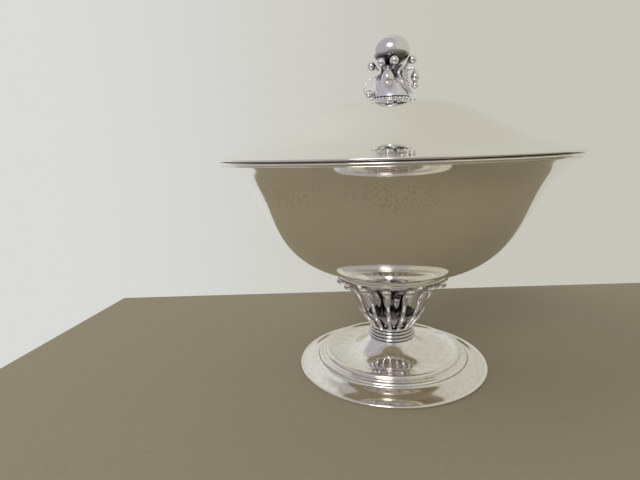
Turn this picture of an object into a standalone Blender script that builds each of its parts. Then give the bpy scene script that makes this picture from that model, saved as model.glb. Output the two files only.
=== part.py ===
"""Covered silver sugar bowl on a stepped foot.

Built the way a silversmith raises and assembles one: a spun foot with an applied base
wire, a reeded neck ring, a calyx cup, a ring of berry stalks around a drop-shaped core,
a saucer-shaped seat, the raised bowl with its rim wire, and a loose lid. The lid carries
a locating bezel underneath and a fruit finial held by a stud and a nut.

Units are metres. +Z is up, the axis of the bowl is the Z axis, and Z = 0 is the surface
that the foot stands on. -Y is the front.
"""

import math

import bmesh
import bpy
from mathutils import Vector

MM = 0.001
GAP = 0.3 * MM                    # clearance left between pieces that are soldered or seated
TURN_STEPS = 32                   # facets round a large turned piece
SMALL_TURN_STEPS = 20             # facets round a small turned piece
WIRE_SIDES = 6                    # facets round a stalk, stem or tendril

# Foot
FOOT_RADIUS = 42.1 * MM
FOOT_WIRE_WIDTH = 1.3 * MM
FOOT_WIRE_HEIGHT = 1.4 * MM
FOOT_WALL = 0.9 * MM
FOOT_EDGE_LIFT = 0.3 * MM         # underside of the flange above the standing surface
FLANGE_EDGE_HEIGHT = 1.2 * MM
FOOT_STEP_RADIUS = 33.4 * MM
FOOT_STEP_HEIGHT = 5.3 * MM
FOOT_CREST_RADIUS = 29.3 * MM
FOOT_CREST_HEIGHT = 7.3 * MM
FOOT_DISH_RADIUS = 22.5 * MM
FOOT_DISH_HEIGHT = 5.3 * MM

# Neck ring
NECK_BASE_HEIGHT = 12.9 * MM
NECK_BASE_RADIUS = 10.6 * MM
NECK_TOP_RADIUS = 9.5 * MM
NECK_BORE_RADIUS = 6.0 * MM
NECK_RING_HEIGHT = 5.4 * MM
REED_COUNT = 4
REED_BULGE = 0.35 * MM

# Stem cage
STALK_COUNT = 15
FIRST_STALK_ANGLE = -95.0         # degrees; -90 faces the front
STALK_RADIUS = 0.85 * MM
STALK_BASE_RADIUS = 8.75 * MM     # radius of the ring that the stalks stand on
BUD_RADIUS = 1.25 * MM
BEAD_RADIUS = 1.85 * MM
STALK_SHAPE = ((0.0, 0.0), (0.09, 0.09), (0.30, 0.28), (0.47, 0.52), (0.585, 0.74), (0.74, 0.90))
CUP_WALL = 0.8 * MM
CUP_FLOOR = 1.0 * MM
CUP_HEIGHT = 6.4 * MM
CORE_RADIUS = 6.3 * MM
CORE_CLEARANCE = 0.6 * MM         # between the core and the buds and beads round it
CORE_SHAPE = ((0.22, 0.0), (0.27, 0.05), (0.60, 0.12), (0.95, 0.25), (1.1, 0.42), (1.2, 0.55),
              (1.5, 0.66), (2.1, 0.76), (2.6, 0.88), (2.7, 1.0))

# Seat, the saucer under the bowl
SEAT_RADIUS = 24.6 * MM
SEAT_UNDERSIDE = 41.75 * MM
SEAT_RIM_THICKNESS = 1.2 * MM
SEAT_OUTER_STEP_RADIUS = 21.9 * MM
SEAT_OUTER_STEP_HEIGHT = 1.6 * MM
SEAT_INNER_STEP_RADIUS = 19.4 * MM
SEAT_THICKNESS = 2.15 * MM

# Bowl
RIM_RADIUS = 72.0 * MM
BOWL_WALL = 0.9 * MM
BOWL_HEIGHT = 47.7 * MM           # from the underside of its floor to the top of its edge
RIM_WIRE_WIDTH = 1.6 * MM
RIM_WIRE_HEIGHT = 0.9 * MM
BOWL_FLAT_RADIUS = 18.5 * MM
BOWL_SHAPE = ((0.10, 0.011), (0.205, 0.032), (0.32, 0.082), (0.43, 0.161), (0.523, 0.260),
              (0.597, 0.366), (0.656, 0.474), (0.720, 0.614), (0.784, 0.757), (0.860, 0.882),
              (0.934, 0.955), (1.0, 1.0))

# Lid
LID_OVERHANG = 0.5 * MM           # lid's edge beyond the bowl's rim
LID_WALL = 0.9 * MM
LID_REST_GAP = 0.4 * MM           # hairline left between the rim wire and the lid's edge
LID_EDGE_HEIGHT = 0.8 * MM
LID_RISE = 21.8 * MM              # from the lid's resting edge to the top of its dome
LID_FLAT_RADIUS = 9.0 * MM
LID_SHAPE = ((0.984, 0.045), (0.93, 0.066), (0.85, 0.116), (0.756, 0.206), (0.661, 0.325),
             (0.567, 0.468), (0.472, 0.628), (0.378, 0.780), (0.283, 0.895), (0.189, 0.963),
             (0.094, 0.991), (0.0, 1.0))
BEZEL_WALL = 1.0 * MM
BEZEL_DROP = 1.3 * MM             # lower edge of the bezel below the bowl's edge
BEZEL_CLEARANCE = 1.0 * MM        # between the bezel and the inside of the bowl's mouth
LID_LIFT = 70.0 * MM              # how far the lid is drawn up when it is taken off

# Finial
BASE_RING_RADIUS = 8.2 * MM
BASE_RING_HEIGHT = 1.1 * MM
PEDESTAL_HEIGHT = 12.2 * MM
PEDESTAL_FOOT_RADIUS = 7.6 * MM
PEDESTAL_WAIST_RADIUS = 3.0 * MM
PEDESTAL_SHAPE = ((1.0, 0.0), (0.97, 0.05), (0.95, 0.16), (0.93, 0.31), (0.86, 0.45), (0.62, 0.58),
                  (0.26, 0.70), (0.04, 0.82), (0.0, 1.0))
FRUIT_RADIUS = 7.45 * MM
FRUIT_RISE = 6.3 * MM
FRUIT_DROP = 5.4 * MM
BERRY_RADIUS = 1.8 * MM
BERRY_STEM_RADIUS = 0.5 * MM
POD_RADIUS = 2.5 * MM
POD_LENGTH = 7.4 * MM
POD_REACH = 9.5 * MM               # from the finial's axis to the middle of a pod
SIDE_POD_RADIUS = 1.8 * MM
SIDE_POD_LENGTH = 5.2 * MM
TIP_BEAD_RADIUS = 1.5 * MM
LEAF_WIDTH = 3.4 * MM
LEAF_THICKNESS = 0.8 * MM
TENDRIL_RADIUS = 0.62 * MM
LOOP_WIRE_RADIUS = 0.32 * MM
STUD_RADIUS = 1.3 * MM
STUD_LENGTH = 9.0 * MM
STUD_PROJECTION = 3.0 * MM        # threaded end below the underside of the lid
STUD_CLEARANCE = 0.3 * MM
NUT_RADIUS = 3.0 * MM
NUT_HEIGHT = 2.0 * MM

# Heights that follow from the sizes above
NECK_TOP = NECK_BASE_HEIGHT + NECK_RING_HEIGHT
STALK_FOOT_Z = NECK_TOP + GAP
BEAD_Z = SEAT_UNDERSIDE - GAP - BEAD_RADIUS
BEAD_RING_RADIUS = SEAT_RADIUS - 0.92 * BEAD_RADIUS
SEAT_TOP = SEAT_UNDERSIDE + SEAT_THICKNESS
BOWL_BASE = SEAT_TOP + GAP
BOWL_EDGE = BOWL_BASE + BOWL_HEIGHT
RIM_TOP = BOWL_EDGE + GAP + RIM_WIRE_HEIGHT
LID_RADIUS = RIM_RADIUS + LID_OVERHANG
LID_REST = RIM_TOP + LID_REST_GAP
LID_TOP = LID_REST + LID_RISE
BASE_RING_TOP = LID_TOP + GAP + BASE_RING_HEIGHT
PEDESTAL_FOOT = BASE_RING_TOP + GAP
PEDESTAL_TOP = PEDESTAL_FOOT + PEDESTAL_HEIGHT
FRUIT_EQUATOR = PEDESTAL_TOP + GAP + FRUIT_DROP


def material(name, colour, roughness):
    """Metal with its own tone and polish."""
    made = bpy.data.materials.new(name)
    made.use_nodes = True
    shader = made.node_tree.nodes["Principled BSDF"]
    shader.inputs["Base Color"].default_value = (*colour, 1.0)
    shader.inputs["Metallic"].default_value = 1.0
    shader.inputs["Roughness"].default_value = roughness
    return made


def smooth_line(points, steps):
    """Points along a smooth curve that passes through every given point."""
    ends = [2 * Vector(points[0]) - Vector(points[1])]
    ends += [Vector(p) for p in points]
    ends += [2 * Vector(points[-1]) - Vector(points[-2])]
    line = []
    for i in range(1, len(ends) - 2):
        before, start, end, after = ends[i - 1:i + 3]
        for k in range(steps):
            t = k / steps
            line.append(0.5 * (2 * start + (end - before) * t
                               + (2 * before - 5 * start + 4 * end - after) * t ** 2
                               + (3 * start - before - 3 * end + after) * t ** 3))
    line.append(ends[-2])
    return line


def offset_line(points, distance):
    """The same line moved sideways, to the right of its direction, by a distance."""
    moved = []
    last = len(points) - 1
    for i, point in enumerate(points):
        ahead = Vector(points[min(i + 1, last)])
        behind = Vector(points[max(i - 1, 0)])
        along = (ahead - behind).normalized()
        moved.append(Vector(point) + distance * Vector((along.y, -along.x)))
    return moved


def arc(centre, radius, start, end, steps):
    """Points on a circular arc; angles in degrees, anticlockwise from +X."""
    points = []
    for k in range(steps + 1):
        angle = math.radians(start + (end - start) * k / steps)
        points.append(Vector(centre) + radius * Vector((math.cos(angle), math.sin(angle))))
    return points


def add_object(name, bm, finish, origin, parent=None):
    """Turns a bmesh in world coordinates into an object that sits at its origin."""
    bmesh.ops.recalc_face_normals(bm, faces=bm.faces)
    bmesh.ops.translate(bm, verts=bm.verts, vec=-Vector(origin))
    mesh = bpy.data.meshes.new(name)
    bm.to_mesh(mesh)
    bm.free()
    mesh.shade_smooth()
    mesh.set_sharp_from_angle(angle=math.radians(35))
    mesh.materials.append(finish)
    piece = bpy.data.objects.new(name, mesh)
    piece.location = Vector(origin)
    if parent:
        piece.parent = parent
        piece.location -= parent.location
    bpy.context.collection.objects.link(piece)
    return piece


def turned(name, outline, finish, steps=TURN_STEPS, closed=True, parent=None):
    """A piece spun about the Z axis from an outline of (radius, height) points.

    A closed outline makes a ring or a shell; an open one starts and ends on the axis.
    """
    bm = bmesh.new()
    verts = [bm.verts.new((p[0], 0.0, p[1])) for p in outline]
    edges = [bm.edges.new(pair) for pair in zip(verts, verts[1:])]
    if closed:
        edges.append(bm.edges.new((verts[-1], verts[0])))
    bmesh.ops.spin(bm, geom=verts + edges, axis=(0, 0, 1), cent=(0, 0, 0),
                   angle=math.tau, steps=steps, use_merge=True)
    bmesh.ops.remove_doubles(bm, verts=bm.verts, dist=0.001 * MM)
    lowest = min(p[1] for p in outline)
    return add_object(name, bm, finish, (0, 0, lowest), parent)


def swept(name, path, radii, finish, sides=WIRE_SIDES, flatten=1.0, parent=None):
    """A rod along a path, with its own radius at each point; flatten squeezes it radially."""
    bm = bmesh.new()
    path = [Vector(p) for p in path]
    last = len(path) - 1
    rings = []
    for i, (point, radius) in enumerate(zip(path, radii)):
        along = (path[min(i + 1, last)] - path[max(i - 1, 0)]).normalized()
        outward = Vector((point.x, point.y, 0)).normalized()
        side = along.cross(outward).normalized()
        normal = side.cross(along)
        if radius == 0:
            rings.append([bm.verts.new(point)])
            continue
        ring = []
        for k in range(sides):
            angle = math.tau * (k + 0.5) / sides
            across = side * math.cos(angle) + normal * math.sin(angle) * flatten
            ring.append(bm.verts.new(point + across * radius))
        rings.append(ring)
    for lower, upper in zip(rings, rings[1:]):
        for k in range(sides):
            corners = [lower[k % len(lower)], lower[(k + 1) % sides % len(lower)],
                       upper[(k + 1) % sides % len(upper)], upper[k % len(upper)]]
            bm.faces.new(list(dict.fromkeys(corners)))
    for ring in (rings[0], rings[-1]):
        if len(ring) > 1:
            bm.faces.new(ring)
    return add_object(name, bm, finish, path[0], parent)


def around(angle, radius, height):
    """A point at an angle in degrees, a radius and a height about the bowl's axis."""
    turn = math.radians(angle)
    return Vector((radius * math.cos(turn), radius * math.sin(turn), height))


def bead_end(path, radii, bead_centre, bead_radius, steps=5):
    """Carries a stem on into a round bead, as one surface of revolution."""
    path = [Vector(p) for p in path]
    centre = Vector(bead_centre)
    along = (centre - path[-1]).normalized()
    start = math.asin(min(1.0, 1.05 * radii[-1] / bead_radius))
    for k in range(steps + 1):
        angle = start + (math.pi - start) * k / steps
        path.append(centre - along * bead_radius * math.cos(angle))
        radii = radii + [0.0 if k == steps else bead_radius * math.sin(angle)]
    return path, radii


def foot(finish):
    """Spun foot: flange, two rolled steps, a shallow dish and a trumpet up to the neck."""
    flange_radius = FOOT_RADIUS - FOOT_WIRE_WIDTH - GAP
    trumpet_top = NECK_BASE_HEIGHT - GAP
    trumpet_radius = NECK_BASE_RADIUS - 0.5 * MM
    flange_run = flange_radius - FOOT_STEP_RADIUS
    flange_climb = FOOT_STEP_HEIGHT - 0.9 * MM - FLANGE_EDGE_HEIGHT
    dish_run = FOOT_DISH_RADIUS - trumpet_radius
    trumpet_climb = trumpet_top - FOOT_DISH_HEIGHT
    flange = [(flange_radius, FLANGE_EDGE_HEIGHT)]
    for inward, up in ((0.24, 0.15), (0.50, 0.42), (0.76, 0.70), (0.93, 0.90)):
        flange.append((flange_radius - inward * flange_run, FLANGE_EDGE_HEIGHT + up * flange_climb))
    step = [(FOOT_STEP_RADIUS, FOOT_STEP_HEIGHT - 0.7 * MM),
            (FOOT_STEP_RADIUS - 0.3 * MM, FOOT_STEP_HEIGHT - 0.15 * MM),
            (FOOT_STEP_RADIUS - 1.1 * MM, FOOT_STEP_HEIGHT)]
    crest = [(FOOT_CREST_RADIUS + 1.5 * MM, FOOT_STEP_HEIGHT + 0.35 * MM)]
    crest += arc((FOOT_CREST_RADIUS, FOOT_CREST_HEIGHT - 1.1 * MM), 1.1 * MM, 0, 150, 5)
    dish = []
    for inward, up in ((-0.30, 0.045), (0.0, 0.0), (0.30, 0.05), (0.58, 0.22), (0.80, 0.48),
                       (0.94, 0.80), (1.0, 1.0)):
        dish.append((FOOT_DISH_RADIUS - inward * dish_run, FOOT_DISH_HEIGHT + up * trumpet_climb))
    top_face = flange + step + crest + dish
    under = [flange[0], flange[2], step[0], crest[-3]] + dish[0:7:2]
    under = offset_line(smooth_line(under, 2), -FOOT_WALL)
    under[0] = Vector((flange_radius, FOOT_EDGE_LIFT))
    under[-1] = Vector((trumpet_radius - FOOT_WALL, trumpet_top))
    outline = [Vector(p) for p in top_face] + under[::-1]
    return turned("foot_shell", outline, finish)


def foot_wire(finish):
    """Applied base wire: flat underneath, rounded outside, standing round the flange."""
    inner = FOOT_RADIUS - FOOT_WIRE_WIDTH
    corner = FOOT_WIRE_HEIGHT / 2
    outline = [(inner, 0), (FOOT_RADIUS - 0.5 * corner, 0), (FOOT_RADIUS, 0.6 * corner)]
    outline += arc((FOOT_RADIUS - corner, corner), corner, 0, 90, 3)
    outline += [(inner, FOOT_WIRE_HEIGHT - 0.2 * corner)]
    return turned("foot_rim_wire", outline, finish)


def neck_ring(finish):
    """Reeded collar between the foot and the stem, slightly narrower at the top."""
    reed = NECK_RING_HEIGHT / REED_COUNT
    outline = []
    for k in range(REED_COUNT):
        share = (k + 0.5) / REED_COUNT
        radius = NECK_BASE_RADIUS + (NECK_TOP_RADIUS - NECK_BASE_RADIUS) * share
        low = NECK_BASE_HEIGHT + k * reed
        outline.append((radius - REED_BULGE, low + 0.06 * reed))
        outline.append((radius - 0.15 * REED_BULGE, low + 0.28 * reed))
        outline.append((radius, low + 0.5 * reed))
        outline.append((radius - 0.15 * REED_BULGE, low + 0.72 * reed))
    outline.append((NECK_TOP_RADIUS - REED_BULGE, NECK_TOP))
    outline += [(NECK_BORE_RADIUS, NECK_TOP), (NECK_BORE_RADIUS, NECK_BASE_HEIGHT)]
    outline[0] = (NECK_BASE_RADIUS - REED_BULGE, NECK_BASE_HEIGHT)
    return turned("neck_ring", outline, finish, SMALL_TURN_STEPS)


def stalk_line():
    """Middle line of a stalk, as (radius, height), from the neck ring to its bead."""
    run = BEAD_RING_RADIUS - STALK_BASE_RADIUS
    climb = BEAD_Z - STALK_FOOT_Z
    points = [(STALK_BASE_RADIUS + r * run, STALK_FOOT_Z + z * climb) for r, z in STALK_SHAPE]
    return smooth_line(points, 2)


def calyx_cup(finish):
    """Small flared cup inside the feet of the stalks."""
    clear = STALK_RADIUS + GAP
    outside = [p for p in offset_line(stalk_line(), -clear) if p.y <= STALK_FOOT_Z + CUP_HEIGHT]
    inside = [p for p in offset_line(outside, -CUP_WALL) if p.y > STALK_FOOT_Z + CUP_FLOOR]
    floor_top = STALK_FOOT_Z + CUP_FLOOR
    floor_radius = outside[0].x - 0.6 * CUP_WALL
    outline = [Vector((0, STALK_FOOT_Z))] + outside + inside[::-1]
    outline += [Vector((floor_radius, floor_top)), Vector((0, floor_top))]
    return turned("calyx_cup", outline, finish, SMALL_TURN_STEPS, closed=False)


def cage_inside(height):
    """Largest radius at a height that stays clear of the stalks, buds and beads."""
    line = offset_line(stalk_line(), -(BUD_RADIUS + CORE_CLEARANCE))
    radius = line[0].x if height < line[0].y else line[-1].x
    for a, b in zip(line, line[1:]):
        if a.y <= height <= b.y and b.y > a.y:
            radius = a.x + (b.x - a.x) * (height - a.y) / (b.y - a.y)
    if height > BEAD_Z - BEAD_RADIUS:
        radius = min(radius, BEAD_RING_RADIUS - BEAD_RADIUS - CORE_CLEARANCE)
    return radius


def stem_core(finish):
    """Drop-shaped core inside the cage, point down, that flares out to carry the seat."""
    low = STALK_FOOT_Z + CUP_FLOOR + GAP
    high = SEAT_UNDERSIDE - GAP
    side = [(r * CORE_RADIUS, low + z * (high - low)) for r, z in CORE_SHAPE]
    side = [(min(p.x, cage_inside(p.y)), p.y) for p in smooth_line(side, 2)]
    outline = [(0, low)] + side + [(0, high)]
    return turned("stem_core", outline, finish, SMALL_TURN_STEPS, closed=False)


def stalk(number, finish):
    """One stalk of the cage: a rod that swells to a bud and ends in a bead."""
    angle = FIRST_STALK_ANGLE + number * 360.0 / STALK_COUNT
    line = stalk_line()
    last = len(line) - 1
    path = [around(angle, p.x, p.y) for p in line]
    radii = []
    for i in range(last + 1):
        share = i / last
        bud = math.exp(-((share - 0.88) / 0.14) ** 2)
        radii.append(STALK_RADIUS + (BUD_RADIUS - STALK_RADIUS) * bud)
    centre = around(angle, BEAD_RING_RADIUS, BEAD_Z)
    path, radii = bead_end(path, radii, centre, BEAD_RADIUS)
    return swept(f"stalk_{number + 1:02d}", path, radii, finish)


def seat(finish):
    """Saucer under the bowl: flat below, a rolled rim and two steps above."""
    half = SEAT_RIM_THICKNESS / 2
    rim_centre = (SEAT_RADIUS - half, SEAT_UNDERSIDE + half)
    outer_step = SEAT_UNDERSIDE + SEAT_OUTER_STEP_HEIGHT
    groove = SEAT_UNDERSIDE + SEAT_RIM_THICKNESS - 0.35 * MM
    outline = [(0, SEAT_UNDERSIDE)] + arc(rim_centre, half, -90, 110, 5)
    outline += [(SEAT_RADIUS - 1.6 * MM, groove), (SEAT_OUTER_STEP_RADIUS + 0.4 * MM, groove),
                (SEAT_OUTER_STEP_RADIUS, outer_step - 0.3 * MM),
                (SEAT_OUTER_STEP_RADIUS - 0.5 * MM, outer_step),
                (SEAT_INNER_STEP_RADIUS + 0.3 * MM, outer_step),
                (SEAT_INNER_STEP_RADIUS, SEAT_TOP - 0.2 * MM),
                (SEAT_INNER_STEP_RADIUS - 0.4 * MM, SEAT_TOP), (0, SEAT_TOP)]
    return turned("bowl_seat", outline, finish, closed=False)


def bowl_faces():
    """Outer and inner face of the bowl, from the middle of its floor to its edge."""
    edge_radius = RIM_RADIUS - 0.3 * MM
    outside = [Vector((0, BOWL_BASE)), Vector((BOWL_FLAT_RADIUS, BOWL_BASE))]
    outside += [Vector((r * edge_radius + (1 - r) * BOWL_FLAT_RADIUS, BOWL_BASE + z * BOWL_HEIGHT))
                for r, z in BOWL_SHAPE]
    inside = offset_line(outside, -BOWL_WALL)
    inside[0] = Vector((0, BOWL_BASE + BOWL_WALL))
    inside[-1] = Vector((edge_radius - BOWL_WALL, BOWL_EDGE))
    return outside, inside


def bowl(finish):
    """Raised bowl: a round belly that turns outward to a wide flared rim."""
    outside, inside = bowl_faces()
    return turned("bowl_shell", outside + inside[::-1], finish, closed=False)


def rim_wire(finish):
    """Flat wire soldered round the top of the bowl's edge."""
    inner = RIM_RADIUS - RIM_WIRE_WIDTH
    low = BOWL_EDGE + GAP
    half = RIM_WIRE_HEIGHT / 2
    outline = [(inner, low)] + arc((RIM_RADIUS - half, low + half), half, -90, 90, 4)
    outline += [(inner, RIM_TOP)]
    return turned("bowl_rim_wire", outline, finish)


def lid_face():
    """Upper face of the lid, from its edge to the flat under the finial."""
    return [Vector((LID_FLAT_RADIUS + r * (LID_RADIUS - LID_FLAT_RADIUS),
                    LID_REST + z * LID_RISE)) for r, z in LID_SHAPE]


def lid(finish, parent):
    """Domed lid with a hole for the finial's stud and a flat bearing edge."""
    hole = STUD_RADIUS + STUD_CLEARANCE
    face = lid_face()
    edge = [Vector((LID_RADIUS - 0.3 * MM, LID_REST)),
            Vector((LID_RADIUS, LID_REST + 0.5 * LID_EDGE_HEIGHT))]
    inside = offset_line(face, -LID_WALL)
    inside[0] = Vector((face[1].x, LID_REST))
    inside[-1] = Vector((LID_FLAT_RADIUS, LID_TOP - LID_WALL))
    outline = edge + face + [Vector((hole, LID_TOP)), Vector((hole, LID_TOP - LID_WALL))]
    return turned("lid_shell", outline + inside[::-1], finish, parent=parent)


def read_line(line, value, known, wanted):
    """Reads a line of points at a value of one coordinate, giving the other one."""
    line = sorted(line, key=lambda p: p[known])
    for near, far in zip(line, line[1:]):
        if near[known] <= value <= far[known]:
            share = (value - near[known]) / (far[known] - near[known])
            return near[wanted] + share * (far[wanted] - near[wanted])
    return line[-1][wanted]


def bezel(finish, parent):
    """Locating ring under the lid that drops inside the bowl's mouth."""
    low = BOWL_EDGE - BEZEL_DROP
    outer = read_line(bowl_faces()[1], low, 1, 0) - BEZEL_CLEARANCE
    inner = outer - BEZEL_WALL
    underside = offset_line(lid_face(), -LID_WALL)
    top = read_line(underside, outer, 0, 1) - GAP
    chamfer = 0.3 * MM
    outline = [(inner, low), (outer - chamfer, low), (outer, low + chamfer),
               (outer, top), (inner, top)]
    return turned("lid_bezel", outline, finish, parent=parent)


def finial_base_ring(finish, parent):
    """Ring that the finial stands on."""
    hole = STUD_RADIUS + STUD_CLEARANCE
    low = LID_TOP + GAP
    half = BASE_RING_HEIGHT / 2
    outline = [(hole, low)] + arc((BASE_RING_RADIUS - half, low + half), half, -90, 90, 4)
    outline += [(hole, BASE_RING_TOP)]
    return turned("finial_base_ring", outline, finish, SMALL_TURN_STEPS, parent=parent)


def pedestal(finish, parent):
    """Bell-shaped pedestal of the finial, bored from below for the stud."""
    hole = STUD_RADIUS + STUD_CLEARANCE
    hole_top = LID_TOP - LID_WALL - STUD_PROJECTION + STUD_LENGTH + STUD_CLEARANCE
    flare = PEDESTAL_FOOT_RADIUS - PEDESTAL_WAIST_RADIUS
    side = [(PEDESTAL_WAIST_RADIUS + r * flare, PEDESTAL_FOOT + z * PEDESTAL_HEIGHT)
            for r, z in PEDESTAL_SHAPE]
    outline = smooth_line(side, 2) + [(0, PEDESTAL_TOP)]
    outline = [(0, hole_top), (hole, hole_top), (hole, PEDESTAL_FOOT)] + outline
    return turned("finial_pedestal", outline, finish, SMALL_TURN_STEPS, closed=False, parent=parent)


def fruit(finish, parent):
    """Round fruit at the top of the finial."""
    outline = []
    for k in range(15):
        angle = -math.pi / 2 + math.pi * k / 14
        tall = FRUIT_RISE if angle > 0 else FRUIT_DROP
        radius = 0.0 if k in (0, 14) else FRUIT_RADIUS * math.cos(angle)
        outline.append((radius, FRUIT_EQUATOR + tall * math.sin(angle)))
    return turned("finial_fruit", outline, finish, SMALL_TURN_STEPS, closed=False, parent=parent)


def berry(number, angle, reach, drop, finish, parent):
    """Berry on a short stem that leaves the pedestal's neck just under the fruit."""
    start = PEDESTAL_WAIST_RADIUS + 1.0 * MM
    start_z = FRUIT_EQUATOR - FRUIT_DROP - 2.0 * MM
    centre_z = FRUIT_EQUATOR - drop
    points = [around(angle, start + out * (reach - start), start_z + up * (centre_z - start_z))
              for out, up in ((0.0, 0.0), (0.28, 0.50), (0.60, 0.84))]
    path = smooth_line(points, 2)
    radii = [BERRY_STEM_RADIUS] * len(path)
    path, radii = bead_end(path, radii, around(angle, reach, centre_z), BERRY_RADIUS)
    return swept(f"finial_berry_{number}", path, radii, finish, parent=parent)


def pod(number, angle, radius, length, tip_radius, finish, parent):
    """Drop-shaped pod that hangs from an arched stem, plain or with a bead at its tip."""
    top = FRUIT_EQUATOR - 7.7 * MM
    arch = [around(angle, POD_REACH - inward, top + up) for inward, up in
            ((4.4 * MM, -1.6 * MM), (3.1 * MM, 0.0), (1.4 * MM, 0.7 * MM), (0.35 * MM, 0.45 * MM))]
    path = smooth_line(arch, 2)
    radii = [BERRY_STEM_RADIUS] * len(path)
    steps = 8
    for k in range(1, steps + 1):
        share = k / steps
        girth = math.sin(math.pi * share ** 0.8) ** 0.7 if k < steps else 0.0
        path.append(around(angle, POD_REACH, top - share * length))
        radii.append(radius * girth)
    if tip_radius:
        path.pop()
        radii[-2:] = [0.35 * radius]
        bead = around(angle, POD_REACH, top - length - 0.6 * tip_radius)
        path, radii = bead_end(path, radii, bead, tip_radius)
    return swept(f"finial_pod_{number}", path, radii, finish, sides=10, parent=parent)


def leaf(number, angle, finish, parent):
    """Upright leaf that stands just clear of the pedestal's bell."""
    base_z = PEDESTAL_FOOT + 4.8 * MM
    points = [around(angle, PEDESTAL_FOOT_RADIUS + out, base_z + up)
              for out, up in ((0.25 * MM, 0.0), (0.15 * MM, 2.5 * MM), (-0.2 * MM, 5.2 * MM))]
    path = smooth_line(points, 3)
    last = len(path) - 1
    radii = []
    for i in range(last + 1):
        share = i / last
        width = math.sin(math.pi * (0.06 + 0.92 * share)) ** 0.7
        radii.append(0.5 * LEAF_WIDTH * width)
    flatten = LEAF_THICKNESS / LEAF_WIDTH
    return swept(f"finial_leaf_{number}", path, radii, finish, sides=8, flatten=flatten, parent=parent)


def tendril(number, turn, finish, parent):
    """S-shaped tendril that runs from under the fruit down to the base ring."""
    points = []
    for angle, out, drop in ((-61, 0.3, 7.3), (-72, 1.2, 9.6), (-66, 1.3, 12.0),
                             (-49, 1.3, 14.2), (-32, 1.0, 15.9), (-16, 0.9, 16.9)):
        points.append(around(angle + turn, PEDESTAL_FOOT_RADIUS + out * MM, FRUIT_EQUATOR - drop * MM))
    path = smooth_line(points, 2)
    radii = [TENDRIL_RADIUS] * len(path)
    radii[0] = 0.7 * TENDRIL_RADIUS
    radii[-1] = 0.6 * TENDRIL_RADIUS
    return swept(f"finial_tendril_{number}", path, radii, finish, parent=parent)


def wire_loop(finish, parent):
    """Fine wire that bows out from the stem and ends in a bead near the base ring."""
    points = []
    for angle, out, drop in ((186, -2.2, 9.7), (186, 0.4, 10.1), (186, 2.6, 12.1),
                             (187, 3.8, 14.7), (188, 3.5, 16.0)):
        points.append(around(angle, PEDESTAL_FOOT_RADIUS + out * MM, FRUIT_EQUATOR - drop * MM))
    path = smooth_line(points, 2)
    radii = [LOOP_WIRE_RADIUS] * len(path)
    bead = around(190, PEDESTAL_FOOT_RADIUS + 1.85 * MM, FRUIT_EQUATOR - 16.4 * MM)
    path, radii = bead_end(path, radii, bead, BERRY_RADIUS - 0.1 * MM)
    return swept("finial_wire_loop", path, radii, finish, parent=parent)


def stud(finish, parent):
    """Threaded stud that draws the finial down onto the lid."""
    low = LID_TOP - LID_WALL - STUD_PROJECTION
    chamfer = 0.3 * MM
    outline = [(0, low), (STUD_RADIUS - chamfer, low), (STUD_RADIUS, low + chamfer),
               (STUD_RADIUS, low + STUD_LENGTH), (0, low + STUD_LENGTH)]
    return turned("finial_stud", outline, finish, 16, closed=False, parent=parent)


def nut(finish, parent):
    """Thin round nut under the lid."""
    high = LID_TOP - LID_WALL - GAP
    low = high - NUT_HEIGHT
    hole = STUD_RADIUS + STUD_CLEARANCE
    chamfer = 0.4 * MM
    outline = [(hole, low), (NUT_RADIUS - chamfer, low), (NUT_RADIUS, low + chamfer),
               (NUT_RADIUS, high), (hole, high)]
    return turned("finial_nut", outline, finish, 16, parent=parent)


def build():
    for old in list(bpy.data.objects):
        bpy.data.objects.remove(old, do_unlink=True)
    polished = material("polished_silver", (0.90, 0.88, 0.84), 0.12)
    cast = material("cast_silver", (0.78, 0.76, 0.72), 0.25)
    shaded = material("oxidised_silver", (0.30, 0.29, 0.28), 0.40)

    foot(polished)
    foot_wire(polished)
    neck_ring(cast)
    calyx_cup(shaded)
    stem_core(shaded)
    for number in range(STALK_COUNT):
        stalk(number, cast)
    seat(polished)
    bowl(polished)
    rim_wire(polished)

    lifting_axis = bpy.data.objects.new("lid_axis", None)
    lifting_axis.location = (0, 0, LID_REST)
    lifting_axis["lift"] = LID_LIFT
    bpy.context.collection.objects.link(lifting_axis)
    lid(polished, lifting_axis)
    bezel(polished, lifting_axis)
    finial_base_ring(cast, lifting_axis)
    pedestal(polished, lifting_axis)
    fruit(polished, lifting_axis)
    berry_places = ((-83, 8.4, 4.9), (-119, 8.4, 5.3), (-177, 8.2, 5.5),
                    (97, 8.4, 4.9), (61, 8.4, 5.3), (-7, 8.4, 3.8))
    for number, (angle, reach, drop) in enumerate(berry_places, 1):
        berry(number, angle, reach * MM, drop * MM, cast, lifting_axis)
    pod(1, -99, POD_RADIUS, POD_LENGTH, 0, cast, lifting_axis)
    pod(2, 81, POD_RADIUS, POD_LENGTH, 0, cast, lifting_axis)
    pod(3, -6, SIDE_POD_RADIUS, SIDE_POD_LENGTH, TIP_BEAD_RADIUS, cast, lifting_axis)
    for number, turn in enumerate((0, 180), 1):
        leaf(number, -46 + turn, shaded, lifting_axis)
        tendril(number, turn, cast, lifting_axis)
    wire_loop(cast, lifting_axis)
    stud(cast, lifting_axis)
    nut(cast, lifting_axis)


build()
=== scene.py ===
"""Looks of the covered silver sugar bowl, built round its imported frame.

Every silver piece is made again here as a fine, smooth mesh that stands for its CAD node:
turned pieces from outlines of (radius, height), stalks, berries and tendrils as swept rods.
Heights and outer radii come from the frame; the rest are named sizes in metres.
"""

import math

import bpy
import numpy as np
from mathutils import Matrix, Vector


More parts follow.
